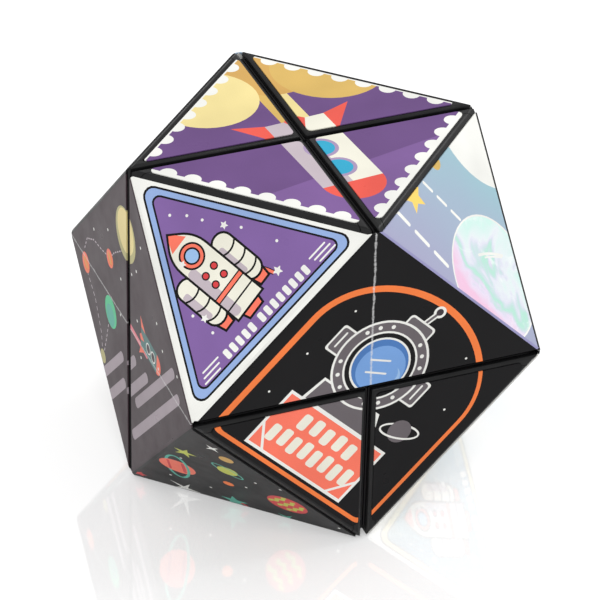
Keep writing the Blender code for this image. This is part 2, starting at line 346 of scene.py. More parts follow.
INKS = {}


def ink(name):
    """This ink's material, made the first time that it is asked for."""
    if name not in INKS:
        special = {"sky": sky_ink, "pearl": pearl_ink}
        INKS[name] = special[name]() if name in special else plain_ink(name)
    return INKS[name]


# ---- drawing: a picture is a list of (outline, ink), each painted over the ones before it ----


def turned(point, degrees):
    return Matrix.Rotation(math.radians(degrees), 2) @ Vector(point)


def moved(picture, offset=(0, 0), degrees=0, scale=1):
    """The picture turned, scaled and then shifted."""
    shift = Vector(offset)
    return [([turned(p, degrees) * scale + shift for p in outline], name) for outline, name in picture]


def shape(points, name):
    return [([Vector(p) for p in points], name)]


def arc(centre, radius, start, end, steps=24, flat=1):
    """Points round part of a circle, or of an ellipse that is flat times as high as it is wide."""
    points = []
    for i in range(steps + 1):
        angle = math.radians(start + (end - start) * i / steps)
        points.append(Vector(centre) + Vector((math.cos(angle), math.sin(angle) * flat)) * radius)
    return points


def disc(centre, radius, name, steps=28):
    return moved([(arc((0, 0), radius, 0, 360, steps)[:-1], name)], centre)


def discs(centre, *rings, steps=28):
    """Discs over one another. rings are (radius, ink), from the bottom one up."""
    picture = []
    for radius, name in rings:
        picture += disc(centre, radius, name, steps=steps)
    return picture


def stroke(points, width, name):
    """A line of even width with square ends."""
    points = [Vector(p) for p in points]
    left, right = [], []
    for i, point in enumerate(points):
        before, after = points[max(i - 1, 0)], points[min(i + 1, len(points) - 1)]
        side = (after - before).normalized().orthogonal() * (width / 2)
        left.append(point + side)
        right.append(point - side)
    return [(left + right[::-1], name)]


def bar(start, end, width, name):
    """A straight line with round ends."""
    start, end = Vector(start), Vector(end)
    along = (end - start).normalized()
    outline = []
    for point, turn in ((end, -90), (start, 90)):
        for step in range(7):
            outline.append(point + turned(along * width / 2, turn + 30 * step))
    return [(outline, name)]


def dashes(points, dash, gap, width, name):
    """Short bars along a line of points."""
    points = [Vector(p) for p in points]
    lengths = [0]
    for a, b in zip(points, points[1:]):
        lengths.append(lengths[-1] + (b - a).length)

    def at(distance):
        for i in range(1, len(points)):
            if distance <= lengths[i] or i == len(points) - 1:
                share = (distance - lengths[i - 1]) / (lengths[i] - lengths[i - 1])
                return points[i - 1].lerp(points[i], share)

    picture, place = [], 0
    while place + dash <= lengths[-1]:
        picture += bar(at(place), at(place + dash), width, name)
        place += dash + gap
    return picture


def rounded(corners, radius, steps=5):
    """Outline points of a convex shape with rounded corners. corners run anticlockwise."""
    points = []
    for i, corner in enumerate(corners):
        corner = Vector(corner)
        back = (Vector(corners[i - 1]) - corner).normalized()
        on = (Vector(corners[(i + 1) % len(corners)]) - corner).normalized()
        half_angle = back.angle(on) / 2
        centre = corner + (back + on).normalized() * (radius / math.sin(half_angle))
        start = corner + back * (radius / math.tan(half_angle)) - centre
        for step in range(steps + 1):
            points.append(centre + turned(start, math.degrees(math.pi - 2 * half_angle) * step / steps))
    return points


def rectangle(left, low, right, high):
    return ((left, low), (right, low), (right, high), (left, high))


def box_shape(left, low, right, high, name, radius=0):
    corners = rectangle(left, low, right, high)
    return shape(rounded(corners, radius) if radius else corners, name)


def star(centre, radius, name, points=5, inner=0.45, degrees=90):
    outline = []
    for i in range(2 * points):
        reach = radius if i % 2 == 0 else radius * inner
        outline.append(Vector(centre) + turned((reach, 0), degrees + 180 * i / points))
    return [(outline, name)]


def specks(places, radius=0.016):
    """Small white stars, as plain dots."""
    picture = []
    for place in places:
        picture += disc(place, radius, "white", steps=8)
    return picture


def ring_planet(radius, body, ring, band=None, tilt=0.3):
    """A planet with a ring that passes behind it and in front."""
    back = stroke(arc((0, 0), radius * 1.75, 0, 180, 20, tilt), radius * 0.16, ring)
    front = stroke(arc((0, 0), radius * 1.75, 180, 360, 20, tilt), radius * 0.16, ring)
    picture = back + disc((0, 0), radius, body)
    if band:
        for height, width in ((0.45, 0.14), (-0.35, 0.18)):
            end = math.sqrt(1 - height**2) * radius * 0.93 - width * radius
            y = height * radius
            picture += bar((-end, y), (end, y), width * radius, band)
    return picture + front


def rocket(hull_left, hull_right, trim, window, window_rim):
    """A plain rocket that points along +x, one unit long."""
    picture = shape(((-0.25, 0.24), (0.02, 0.24), (-0.33, 0.5)), trim)
    picture += shape(((-0.25, -0.24), (0.02, -0.24), (-0.33, -0.5)), trim)
    picture += box_shape(-0.25, 0, 0.72, 0.25, hull_left)
    picture += box_shape(-0.25, -0.25, 0.72, 0, hull_right)
    picture += shape(arc((0.72, 0), 0.25, -90, 90, 16), trim)
    picture += shape(((-0.25, 0.09), (-0.05, 0), (-0.25, -0.09), (-0.34, 0)), trim)
    for place in (0.2, 0.5):
        picture += discs((place, 0), (0.135, window_rim), (0.105, window))
    return picture


# ---- the pictures on the square sides ----

FAR = 1.4  # beyond any face's corner


def background(name):
    return box_shape(-FAR, -FAR, FAR, FAR, name)


def scalloped_edge():
    """A stamp's edge: ten half-round bumps along each side, and black outside them on the two far sides."""
    picture = []
    for side in range(4):
        line = box_shape(-FAR, -FAR, FAR, -0.928, "white")
        for i in range(10):
            line += disc((-0.9 + 0.2 * i, -0.93), 0.068, "white", steps=20)
        picture += moved(line, degrees=90 * side)
    for side in (2, 3):
        picture += moved(box_shape(-FAR, -FAR, FAR, -0.942, "black"), degrees=90 * side)
    return picture


def stamp_picture():
    """Rocket and planets on purple, inside a stamp's edge. A darker purple over all but the lower right is
    painted shade, so the lighter lower right reads as a painted reflection.
    """
    picture = background("purple")
    # painted shade: darker purple over the upper left, so that the lighter lower right stands for a
    # reflection on the laminate
    picture += shape(((-1.2, -1.2), (-0.1, -1.2), (1.2, 0.9), (1.2, 1.2), (-1.2, 1.2)), "deep_purple")
    ship_at, heading = (0.03, 0.02), -39.8
    trail = box_shape(-1.1, -0.11, -0.24, 0.13, "cream")
    trail += box_shape(-1.1, -0.11, -0.24, -0.01, "light_orange")
    picture += moved(trail, ship_at, heading)
    picture += disc((-0.7, 0.82), 0.44, "gold", steps=40)
    picture += disc((-0.24, 1.02), 0.46, "light_orange", steps=40)
    picture += disc((-0.9, 0.16), 0.42, "cream", steps=40)
    picture += moved(rocket("ivory", "pale_grey", "tomato", "window_blue", "lilac"), ship_at, heading)
    return picture + scalloped_edge()


def arch_outline(inset):
    """Points round an arch: two rounded feet, and a half ellipse over them."""
    side, spring, foot, rise = 0.885 - inset, 0.19, -0.93 + inset, 0.685 - inset
    feet = rounded(rectangle(-side, foot, side, spring), 0.1)[:12]
    return feet + arc((0, spring), side, 0, 180, 40, rise / side)


def porthole():
    """A riveted round window in a grey ring, with lugs at its sides, a block on top and an aerial."""
    aerial, knob = ((0.03, 0.47), (0.08, 0.68)), (0.085, 0.71)
    picture = stroke(aerial, 0.06, "white") + disc(knob, 0.062, "white", steps=20)
    picture += stroke(aerial, 0.026, "grey") + disc(knob, 0.036, "dark_grey", steps=16)
    lug = box_shape(0.4, -0.16, 0.61, 0.13, "white", 0.03)
    lug += box_shape(0.42, -0.14, 0.59, 0.11, "grey", 0.03)
    lug += bar((0.53, -0.09), (0.53, 0.07), 0.02, "white")
    picture += lug + [([Vector((-p.x, p.y)) for p in outline], name) for outline, name in lug]
    picture += box_shape(-0.13, 0.38, 0.2, 0.56, "white", 0.04)
    picture += box_shape(-0.11, 0.38, 0.18, 0.54, "grey", 0.03)
    picture += discs((0, 0), (0.475, "white"), (0.452, "grey"), steps=48)
    picture += discs((0, 0), (0.362, "white"), (0.342, "black"), steps=44)
    for degrees in (28, 46, 64, 118, 136, 154, 205, 225, 245, 295, 315, 335):
        picture += disc(turned((0.405, 0), degrees), 0.021, "white", steps=12)
    picture += discs((0, 0), (0.297, "white"), (0.277, "deep_blue"), steps=40)
    picture += disc((0.03, -0.02), 0.243, "blue", steps=36)
    picture += disc((0.155, -0.04), 0.118, "light_blue", steps=24)
    picture += disc((0.115, -0.03), 0.118, "blue", steps=24)
    picture += bar((-0.12, 0), (0.05, 0.09), 0.02, "white")
    return picture + bar((-0.07, -0.12), (0.11, -0.03), 0.02, "white")


def arch_picture(line=0.055):
    """An arch outline on black, round a porthole over a plate with plain blocks."""
    picture = background("black")
    picture += shape(arch_outline(0), "orange")
    picture += shape(arch_outline(line), "black")
    picture += shape(((-0.45, -0.42), (0.42, -0.42), (0.24, -0.12), (-0.4, -0.12)), "white")
    picture += shape(((-0.42, -0.42), (0.39, -0.42), (0.22, -0.14), (-0.38, -0.14)), "grey")
    picture += stroke(((-0.42, -0.34), (0.4, -0.34)), 0.014, "white")
    picture += disc((-0.28, -0.27), 0.03, "white", steps=16)
    picture += disc((-0.28, -0.27), 0.013, "dark_grey", steps=10)
    picture += moved(porthole(), (-0.09, 0.19), 0, 0.84)
    plate = box_shape(-0.55, -0.265, 0.55, 0.265, "white") + box_shape(-0.525, -0.24, 0.525, 0.24, "coral")
    for side in (-1, 1):
        plate += stroke(((side * 0.54, -0.05), (side * 0.36, -0.255)), 0.022, "white")
        plate += stroke(((side * 0.54, 0.05), (side * 0.4, 0.255)), 0.022, "white")
    plate += blocks((-0.24, 0.11), 5, 0.13, (0.085, 0.14), "ivory", 0.015)
    plate += blocks((-0.4, -0.085), 8, 0.118, (0.08, 0.15), "ivory", 0.015)
    picture += moved(plate, (0, -0.605))
    picture += moved(ring_planet(0.1, "grey", "white", None, 0.35), (0.5, -0.14), 20)
    dots = ((-0.68, -0.05), (0.68, 0.2), (-0.62, 0.42), (0.48, 0.62), (-0.7, -0.45))
    return picture + specks(dots, radius=0.01)


def orbits_picture():
    """Small planets on dotted orbits, a slim rocket and a row of long plain bars on charcoal."""
    picture = background("charcoal")
    loop = ((-0.52, 0.33), (-0.56, 0.1), (-0.56, -0.06), (-0.67, -0.23))
    loop += ((-0.78, -0.37), (-0.84, -0.55), (-0.79, -0.7))
    drop = ((-0.62, -0.78), (-0.39, -0.74), (-0.12, -0.81), (0.04, -0.93))
    for path in (loop, drop, ((-0.16, -0.5), (-0.08, -0.65), (0.02, -0.86))):
        picture += dashes(path, 0.025, 0.035, 0.012, "pale_grey")
    picture += disc((-0.6, 0.52), 0.225, "olive", steps=36) + disc((-0.62, 0.54), 0.185, "cream", steps=36)
    for x, y, size in ((-0.69, -0.757, 0.088), (-0.553, -0.06, 0.078)):
        picture += disc((x, y), size, "coral", steps=24) + disc((x + 0.01, y + 0.01), size * 0.7, "orange")
        picture += bar((x - 0.05, y - 0.01), (x + 0.04, y), 0.02, "light_orange")
    picture += disc((-0.2, -0.4), 0.135, "green") + disc((-0.18, -0.43), 0.095, "mint")
    picture += disc((0.043, -0.925), 0.06, "olive", steps=20)
    lengths = ((0.16, -0.97, -0.4), (0.35, -0.97, -0.52), (0.26, -0.27, -0.08), (0.44, -0.46, 0.12))
    for place, start, end in lengths + ((0.555, -0.3, 0.84), (0.75, -0.6, 0.8)):
        picture += bar((place, start), (place, end), 0.085, "bar_grey")
    picture += bar((0.02, 0.05), (0.3, 0.28), 0.05, "pink")
    picture += moved(rocket("teal", "teal", "coral", "charcoal", "white"), (0.21, 0.32), 40, 0.36)
    dots = ((-0.31, 0.42), (-0.3, 0.56), (0.15, 0.75), (-0.35, 0.1), (0.02, 0.26), (0.36, 0.72))
    dots += ((-0.75, 0.08), (0.6, 0.93), (-0.12, -0.15), (0.28, 0.12), (-0.85, -0.3), (-0.42, 0.82))
    dots += ((0.62, -0.6), (0.45, 0.5))
    return picture + specks(dots, radius=0.013)


def sky_picture():
    """Pastel sky with clouds, dashed flight lines and a banded planet."""
    picture = background("sky")
    picture += disc((0.75, 1.35), 1, "white", steps=48) + disc((-0.5, 1.5), 0.75, "white", steps=40)
    picture += disc((-0.95, -1.05), 0.5, "white", steps=32) + disc((-0.5, -1.2), 0.45, "white", steps=32)
    picture += moved(ring_planet(0.36, "pearl", "lilac", None, 0.28), (0.1, -0.25), -18)
    for start in ((-0.85, 0.2), (-0.72, 0), (0.35, -0.75)):
        end = Vector(start) + Vector((0.6, -0.16))
        picture += dashes((start, end), 0.11, 0.09, 0.03, "white")
    picture += star((-0.62, 0.48), 0.12, "yellow") + star((0.72, 0.1), 0.09, "yellow", degrees=70)
    return picture + disc((-0.3, 0.3), 0.05, "light_orange")


def comet_picture():
    """A comet and a banded planet on near-black."""
    picture = background("night")
    picture += disc((0.55, -0.62), 0.55, "teal_sky", steps=44)
    picture += disc((0.42, -0.52), 0.42, "window_blue", steps=40)
    flames = ((0, 0.11), (-1.1, 0.34), (-0.75, 0.06), (-1.25, -0.05), (-0.7, -0.1), (0, -0.11))
    tail = shape(flames, "orange")
    tail += shape(((0, 0.08), (-0.7, 0.16), (-0.45, 0), (-0.7, -0.06), (0, -0.08)), "yellow")
    picture += moved(tail + disc((0, 0), 0.14, "ivory"), (0.28, 0.42), 32)
    picture += moved(ring_planet(0.17, "coral", "cream", "pink"), (-0.55, -0.45), 20)
    picture += star((-0.1, -0.72), 0.08, "yellow") + star((-0.72, 0.3), 0.06, "white", 4, 0.35)
    return picture + specks(((-0.5, 0.75), (0.1, 0.8), (0.75, 0.4), (-0.2, 0.1), (-0.75, -0.05), (0.1, -0.2)))


def moon_picture():
    """A big moon with craters and two small planets on black."""
    picture = background("night")
    picture += disc((0.1, -0.1), 0.55, "pale_grey", steps=48) + disc((0.16, -0.05), 0.48, "ivory", steps=48)
    for x, y, size in ((-0.05, 0.12, 0.1), (0.3, -0.22, 0.13), (0, -0.32, 0.07), (0.32, 0.15, 0.06)):
        picture += disc((x, y), size, "pale_grey") + disc((x + 0.015, y - 0.015), size * 0.8, "olive")
    picture += dashes(arc((0.1, -0.1), 0.8, 20, 200, 40, 0.9), 0.03, 0.045, 0.011, "mint")
    picture += moved(ring_planet(0.12, "orange", "mint", "yellow"), (-0.62, 0.5), -25)
    picture += disc((0.72, 0.52), 0.09, "blue") + star((-0.65, -0.6), 0.08, "yellow")
    return picture + specks(((0.2, 0.8), (-0.2, 0.7), (0.8, -0.5), (-0.8, -0.1), (0.5, -0.85), (-0.3, -0.8)))


# ---- the pictures on the cut corners: an equilateral triangle with its base at -0.577 ----


def triangle(inset, name, radius, shift=0):
    """A rounded triangle this far inside the face's outline, moved this far from the upper right side."""
    reach = (1 / ROOT_3 - inset) * 2
    corners = [turned((0, reach), degrees) - turned((shift, 0), 30) for degrees in (0, 120, 240)]
    return shape(rounded(corners, radius), name)


INK_LINE = 0.018


def inked(points, name):
    """A shape with a black line round it. points run anticlockwise."""
    points = [Vector(p) for p in points]
    grown = []
    for i, point in enumerate(points):
        before = (point - points[i - 1]).normalized()
        after = (points[(i + 1) % len(points)] - point).normalized()
        side = Vector((before.y + after.y, -before.x - after.x)).normalized()
        grown.append(point + side * INK_LINE / max(side.dot(Vector((after.y, -after.x))), 0.5))
    return [(grown, "black"), (points, name)]


def shuttle():
    """A white rocket with two banded boosters, 0.9 units tall, pointing up."""
    picture = []
    for side in (-1, 1):
        x = side * 0.215
        nozzle = ((x - 0.04, -0.33), (x + 0.04, -0.33), (x + 0.055, -0.25), (x - 0.055, -0.25))
        booster = rounded(rectangle(x - 0.08, -0.27, x + 0.08, 0.16), 0.075)
        picture += inked(nozzle, "coral") + inked(booster, "ivory")
        picture += box_shape(x - 0.08, -0.19, x - 0.02, 0.08, "pale_grey", 0.02)
        for height in (-0.18, -0.07, 0.04):
            picture += stroke(arc((x, height + 0.1), 0.13, 231, 309, 6), 0.015, "black")
    picture += inked(((-0.07, -0.42), (0.07, -0.42), (0.09, -0.34), (-0.09, -0.34)), "coral")
    nose = arc((-0.14, 0.2), 0.28, 10, 52, 6)[:-1]
    hull = [(-0.14, -0.36), (0.14, -0.36), (0.14, 0.2), *nose, (0, 0.46)]
    hull += [(-p.x, p.y) for p in reversed(nose)] + [(-0.14, 0.2)]
    picture += inked(hull, "ivory")
    picture += box_shape(-0.14, -0.34, -0.06, 0.16, "pale_grey", 0.03)
    picture += shape(((-0.083, 0.35), (0.083, 0.35), (0.04, 0.42), (0, 0.46), (-0.04, 0.42)), "coral")
    picture += discs((0, 0.22), (0.105, "black"), (0.09, "coral"), (0.066, "black"), (0.052, "light_blue"))
    for place in ((-0.05, 0.04), (0.05, 0.04), (-0.05, -0.06), (0.05, -0.06)):
        picture += discs(place, (0.033, "black"), (0.022, "red"), steps=14)
    picture += box_shape(-0.14, -0.18, 0.14, -0.13, "black") + box_shape(-0.14, -0.17, 0.14, -0.14, "coral")
    return picture + box_shape(-0.14, -0.27, 0.14, -0.257, "black")


def blocks(start, count, pitch, size, name, tilt=0):
    """A row of plain rounded blocks along x, where a printed label would have its words."""
    picture = []
    for i in range(count):
        block = box_shape(-size[0] / 2, -size[1] / 2, size[0] / 2, size[1] / 2, name, min(size) * 0.3)
        picture += moved(block, (start[0] + pitch * i, start[1] + tilt * (i % 2)))
    return picture


def sign_picture(field="sign_purple", band="border_blue"):
    """A road-sign border round a rocket, its trail, stars, and a row of plain blocks between triple bars."""
    picture = background("white")
    picture += triangle(0.068, "black", 0.075, 0.013) + triangle(0.084, band, 0.062, 0.013)
    picture += triangle(0.124, "black", 0.055, 0.013) + triangle(0.139, field, 0.042, 0.013)
    trail = [(0.08 + 0.016 * i, 0.02 - 0.026 * i - 0.035 * math.sin(0.6 * i)) for i in range(11)]
    picture += stroke(trail, 0.036, "black") + stroke(trail, 0.022, "coral")
    picture += moved(shuttle(), (-0.09, 0.1), 6)
    picture += star((0.27, -0.24), 0.042, "white", 5, 0.5)
    for side in (-1, 1):
        for i in range(3):
            x, y = side * (0.5 + 0.022 * i), -0.355 - 0.036 * i
            picture += bar((x, y), (x + side * 0.16, y), 0.013, "white")
    picture += blocks((-0.43, -0.392), 5, 0.068, (0.044, 0.078), "white")
    picture += blocks((-0.055, -0.392), 8, 0.068, (0.044, 0.078), "white")
    dots = ((-0.02, 0.66), (0.13, 0.45), (0.3, 0.19), (0.07, 0.56), (-0.4, -0.2), (0.42, -0.08))
    picture += specks((*dots, (-0.42, 0)), radius=0.012)
    for place in ((-0.21, 0.33), (-0.37, -0.08), (0.22, 0.3)):
        picture += star(place, 0.034, "white", 5, 0.5)
    return picture


def cloud_picture():
    """Pastel sky with a cloud's edge, dashed flight lines, a star and a pearly planet."""
    picture = background("sky")
    picture += disc((0.07, 1.22), 0.72, "white", steps=60)
    picture += discs((0.365, -0.255), (0.51, "white"), (0.495, "pearl"), steps=48)
    picture += stroke(arc((0.75, -0.9), 0.95, 108, 128, 8), 0.022, "white")
    picture += stroke(arc((0.8, -0.9), 0.95, 112, 126, 8), 0.014, "white")
    picture += dashes(((-0.8, -0.3), (-0.08, -0.46)), 0.155, 0.085, 0.034, "white")
    picture += dashes(((-0.7, 0.14), (-0.06, 0.03)), 0.105, 0.07, 0.026, "white")
    picture += star((-0.62, -0.07), 0.135, "yellow", degrees=75) + disc((-0.41, 0.36), 0.06, "light_orange")
    return picture + moved(box_shape(0.542, -FAR, FAR, FAR, "night"), degrees=30)


def doodle_picture():
    """Small planets, stars and comets scattered on near-black."""
    picture = background("night")
    picture += moved(ring_planet(0.15, "coral", "mint", "red", 0.34), (0.23, 0.36), -38)
    banded = disc((0, 0), 0.165, "red", steps=32)
    for place in (-0.09, 0, 0.09):
        wave = [(place + 0.018 * math.sin(i * 1.6), 0.022 * (i - 5)) for i in range(11)]
        banded += stroke(wave, 0.035, "lime")
    picture += moved(banded, (-0.39, -0.286), 12)
    picture += moved(ring_planet(0.085, "lime", "mint", None, 0.36), (0.2, -0.18), 10)
    picture += star((-0.2, 0.7), 0.15, "white", 5, 0.2, 12) + star((-0.4, 0.315), 0.12, "mint", 5, 0.4, 40)
    picture += star((0.51, 0), 0.1, "lime", 5, 0.35, 15) + star((-0.66, -0.03), 0.09, "mint", 4, 0.25, 20)
    picture += star((0.03, 1), 0.06, "red", 5, 0.5) + star((0.62, -0.42), 0.07, "white", 4, 0.3)
    tail = ((-0.43, 0.27), (-0.5, 0.26), (-0.57, 0.25), (-0.64, 0.2), (-0.69, 0.12))
    picture += stroke(tail, 0.028, "red")
    picture += disc((0.42, -0.38), 0.06, "gold", steps=20) + disc((-0.05, 0.05), 0.045, "orange", steps=20)
    dots = ((-0.1, -0.1), (0.05, 0.62), (-0.15, 0.35), (0.4, 0.15), (-0.8, -0.48), (-0.1, -0.48), (0, -0.3))
    return picture + specks(dots, radius=0.012)


# ---- the pictures on the inner squares ----


# Each scheme: the inks of the field, the frame's line, and the main shape.
SCHEMES = (("navy", "light_blue", "orange"), ("deep_purple", "lilac", "yellow"), ("night", "mint", "coral"))


def inner_picture(index):
    """One of six space pictures in a thin frame, in one of three colour schemes."""
    field, line, warm = SCHEMES[index % 3]
    picture = background("black")
    for reach, name, radius in ((0.93, field, 0.14), (0.86, line, 0.11), (0.84, field, 0.09)):
        picture += box_shape(-reach, -reach, reach, reach, name, radius)
    kind = (index // 3 + index) % 6
    if kind == 0:
        picture += moved(ring_planet(0.36, warm, line, "ivory"), (0, 0.02), 20)
    elif kind == 1:
        picture += moved(rocket("ivory", "pale_grey", warm, "window_blue", "lilac"), (-0.22, -0.2), 45, 0.85)
    elif kind == 2:
        picture += disc((0, 0), 0.46, "ivory", steps=40) + disc((0.2, 0.12), 0.42, field, steps=40)
        picture += disc((0.52, -0.38), 0.1, warm, steps=20)
    elif kind == 3:
        picture += dashes(arc((0, 0), 0.62, 0, 355, 60, 0.62), 0.05, 0.06, 0.02, line)
        picture += disc((0, 0), 0.26, warm) + disc((0.05, 0.04), 0.2, "yellow")
        picture += disc((0.55, 0.18), 0.1, "window_blue") + disc((-0.5, -0.25), 0.07, "green")
    elif kind == 4:
        picture += disc((0, 0), 0.5, "teal_sky", steps=40)
        picture += disc((-0.05, 0.05), 0.44, "window_blue", steps=40)
        for x, y, size in ((-0.18, 0.14, 0.15), (0.16, -0.14, 0.19), (0.1, 0.3, 0.07)):
            picture += disc((x, y), size, "green")
    else:
        tail = shape(((0, 0.12), (-0.95, 0.3), (-0.6, 0.04), (-1.05, -0.1), (0, -0.12)), warm)
        picture += moved(tail + disc((0, 0), 0.17, "ivory"), (0.35, 0.3), 40)
    dots = ((-0.7, 0.7), (0.72, 0.62), (0.66, -0.7), (-0.72, -0.62), (-0.1, 0.78), (0.78, -0.05))
    return picture + specks((*dots[index % 2 :], (-0.78, 0.1)), radius=0.026)


# ---- from pictures to printed films ----


def put(name, data):
    """A new object in the scene."""
    obj = bpy.data.objects.new(name, data)
    bpy.context.scene.collection.objects.link(obj)
    return obj


class Film:
    """One printed piece, made of flat painted panels and turned-over edges."""

    def __init__(self, name):
        self.name = name
        self.verts, self.faces, self.inks, self.uvs = [], [], [], []

    def add_face(self, points, uvs, name):
        start = len(self.verts)
        self.verts += [p * METRE for p in points]
        self.faces.append(range(start, start + len(points)))
        self.inks.append(name)
        self.uvs += [tuple(uv) for uv in uvs]

    def panel(self, place, outline, picture, crease=None, lines=()):
        """Adds a flat painted panel. outline, picture and lines are in its plane.

        place takes that plane to the row frame. crease is the direction of the panel's crease, or None. The
        panel is also cut along the lines.
        """
        polygons = [[Vector(p) for p in outline]] + [points for points, _ in picture]
        verts, edges, faces = [], [], []
        for polygon in polygons:
            area = sum(a.x * b.y - a.y * b.x for a, b in zip(polygon, polygon[1:] + polygon[:1]))
            faces.append(list(range(len(verts), len(verts) + len(polygon))))
            verts += polygon if area > 0 else polygon[::-1]
        for start, end in lines:
            edges.append((len(verts), len(verts) + 1))
            verts += [Vector(start), Vector(end)]
        points, _, triangles, _, _, sources = delaunay_2d_cdt(verts, edges, faces, 1, 1e-5)
        along = Vector(crease) if crease else Vector((0, 1))
        across = Vector((along.y, -along.x))
        shift = 0.0 if crease else NO_CREASE
        for corners, source in zip(triangles, sources):
            if 0 not in source:
                continue
            flat = [points[c] for c in corners]
            uvs = [(p.dot(across) + shift, p.dot(along)) for p in flat]
            self.add_face([place @ p.to_3d() for p in flat], uvs, picture[max(source) - 1][1])

    def build(self, body, slot, *replaced, thickness=FILM):
        mesh = bpy.data.meshes.new(self.name)
        mesh.from_pydata(self.verts, [], self.faces)
        names = sorted(set(self.inks))
        for name in names:
            mesh.materials.append(ink(name))
        mesh.polygons.foreach_set("material_index", [names.index(name) for name in self.inks])
        layer = mesh.uv_layers.new(name="print")
        layer.data.foreach_set("uv", [c for uv in self.uvs for c in uv])
        mesh.validate()
        obj = put(self.name, mesh)
        weld = obj.modifiers.new("joined", "WELD")
        weld.merge_threshold = WELD * METRE
        skin = obj.modifiers.new("film", "SOLIDIFY")
        skin.thickness = thickness * METRE
        skin.offset = -1
        if replaced:
            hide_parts(*replaced)
        if body:
            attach(obj, body)
        return obj


def plane(centre, right, up, normal):
    """The matrix from a flat panel, (x, y, 0), to the row frame, in millimetres."""
    place = Matrix((Vector(right), Vector(up), Vector(normal))).transposed().to_4x4()
    place.translation = Vector(centre)
    return place


def square_plane(side):
    normal, right, up = SQUARES[side]
    centre = Vector((0, 0, HALF)) + Vector(normal) * HALF
    return plane(centre, right, up, normal)


def on_square(picture):
    """The picture in millimetres, turned so that its sides lie along a square side's edges."""
    return moved(picture, degrees=-45, scale=UNIT)


# ---- which picture goes where ----

SQUARE_PICTURES = {
    "top": stamp_picture(),
    "front": arch_picture(),
    "left": orbits_picture(),
    "right": comet_picture(),
    "back": sky_picture(),
    "bottom": moon_picture(),
}
STICKER_PICTURES = dict(SQUARE_PICTURES, front=arch_picture(0.034))
SQUARE_FIELD = dict(top="purple", front="black", left="charcoal", right="night", back="sky", bottom="night")
# How many of a turned-over edge's flats show the square side's ink rather than the cut corner's. The edges
# that aren't listed are half and half.
SQUARE_FLATS = {
    ("top_front_right", "right"): FOLD_STEPS,
    ("top_back_left", "left"): 0,
    ("bottom_back_left", "left"): 0,
}
# Each cut corner: its picture, the ink at its edge, and the square side that the picture's base is along.
TRIANGLE_PICTURES = {
    "top_front_left": (sign_picture(), "white", "front"),
    "top_front_right": (cloud_picture(), "lavender", "front"),
    "bottom_front_left": (doodle_picture(), "night", "front"),
    "bottom_front_right": (sign_picture("teal_sky", "cream"), "white", "right"),
    "top_back_left": (doodle_picture(), "night", "top"),
    "top_back_right": (sign_picture("navy", "coral"), "white", "back"),
    "bottom_back_left": (doodle_picture(), "night", "back"),
    "bottom_back_right": (cloud_picture(), "lavender", "right"),
}


def template(signs):
    """The matrix from one cube's own axes to the row frame. Its hinges are on its x and y sides."""
    turn = Matrix.Identity(4)
    if signs[2] == BOTTOM:
        turn = Matrix(((0, 1, 0, 0), (0, 0, 1, 0), (1, 0, 0, 0), (0, 0, 0, 1)))
    return Matrix.Translation((0, 0, HALF)) @ Matrix.Diagonal((*signs, 1)) @ turn


def side_of(direction):
    """The name of the square side that faces this way."""
    return next(side for side, axes in SQUARES.items() if Vector(axes[0]).dot(direction) > 0.9)


def hinge_film(name, side, crease, first):
    """The film over two quarter faces and the crease between them, as one flat sheet cut along lines at the
    crease.
    """
    along = Vector(crease)
    across = Vector((along.y, -along.x))
    wide = FLAT_REACH - LOOSE
    outline = [across * -wide + along * LOOSE, across * wide + along * LOOSE, along * FLAT_REACH]
    lines = []
    for offset in BEND_LINES:
        for sign in {1, -1} if offset else {1}:
            u = offset * sign
            lines.append((across * u + along * (LOOSE - 1), across * u + along * FLAT_REACH))
    film = Film(name)
    film.panel(square_plane(side), outline, on_square(SQUARE_PICTURES[side]), crease, lines)
    obj = film.build(None, "night_print")
    normal, right, up = (Vector(axis) for axis in SQUARES[side])
    over = right * across.x + up * across.y
    first_at = Vector(PIECES[first]).dot(over)
    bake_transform(obj)


def half_hinge_film(name, side, crease, body, sign):
    """One quarter face's film on its own, for the hinge where the model's ring is opened."""
    along = Vector(crease)
    across = Vector((along.y, -along.x)) * sign
    wide = FLAT_REACH - LOOSE
    outline = [
        across * HINGE_GAP + along * LOOSE,
        across * wide + along * LOOSE,
        across * HINGE_GAP + along * (FLAT_REACH - HINGE_GAP),
    ]
    film = Film(name)
    film.panel(square_plane(side), outline, on_square(SQUARE_PICTURES[side]), crease)
    film.build(body, "night_print")


def corner_film(piece, signs):
    """The triangle over the cut corner, with the film's two turned-over edges."""
    to_row = template(signs)
    picture, edge_ink, base_side = TRIANGLE_PICTURES[piece]
    film = Film(piece + "_corner_film")
    fold, loose = TRIANGLE_FOLD, HALF - LOOSE
    corners = [
        Vector((fold, fold, 2 * (HALF - fold))),
        Vector((fold, 2 * HALF - fold - loose, loose)),
        Vector((2 * HALF - fold - loose, fold, loose)),
    ]
    normal = Vector(signs).normalized()
    centre = Vector((0, 0, HALF)) + Vector(signs) * (2 * HALF / 3)
    base_axis = Vector(SQUARES[base_side][0])
    up = (Vector(signs) / 3 - base_axis).normalized()
    place = plane(centre, up.cross(normal), up, normal)
    back = place.inverted()
    film.panel(place, [(back @ (to_row @ c)).to_2d() for c in corners], moved(picture, scale=UNIT))
    for hinge_axis in (0, 1):
        fold_over(film, to_row, hinge_axis, corners, piece, edge_ink)
    film.build(piece, "purple_print" if edge_ink == "white" else "sky_print", piece + "_hinge_film")


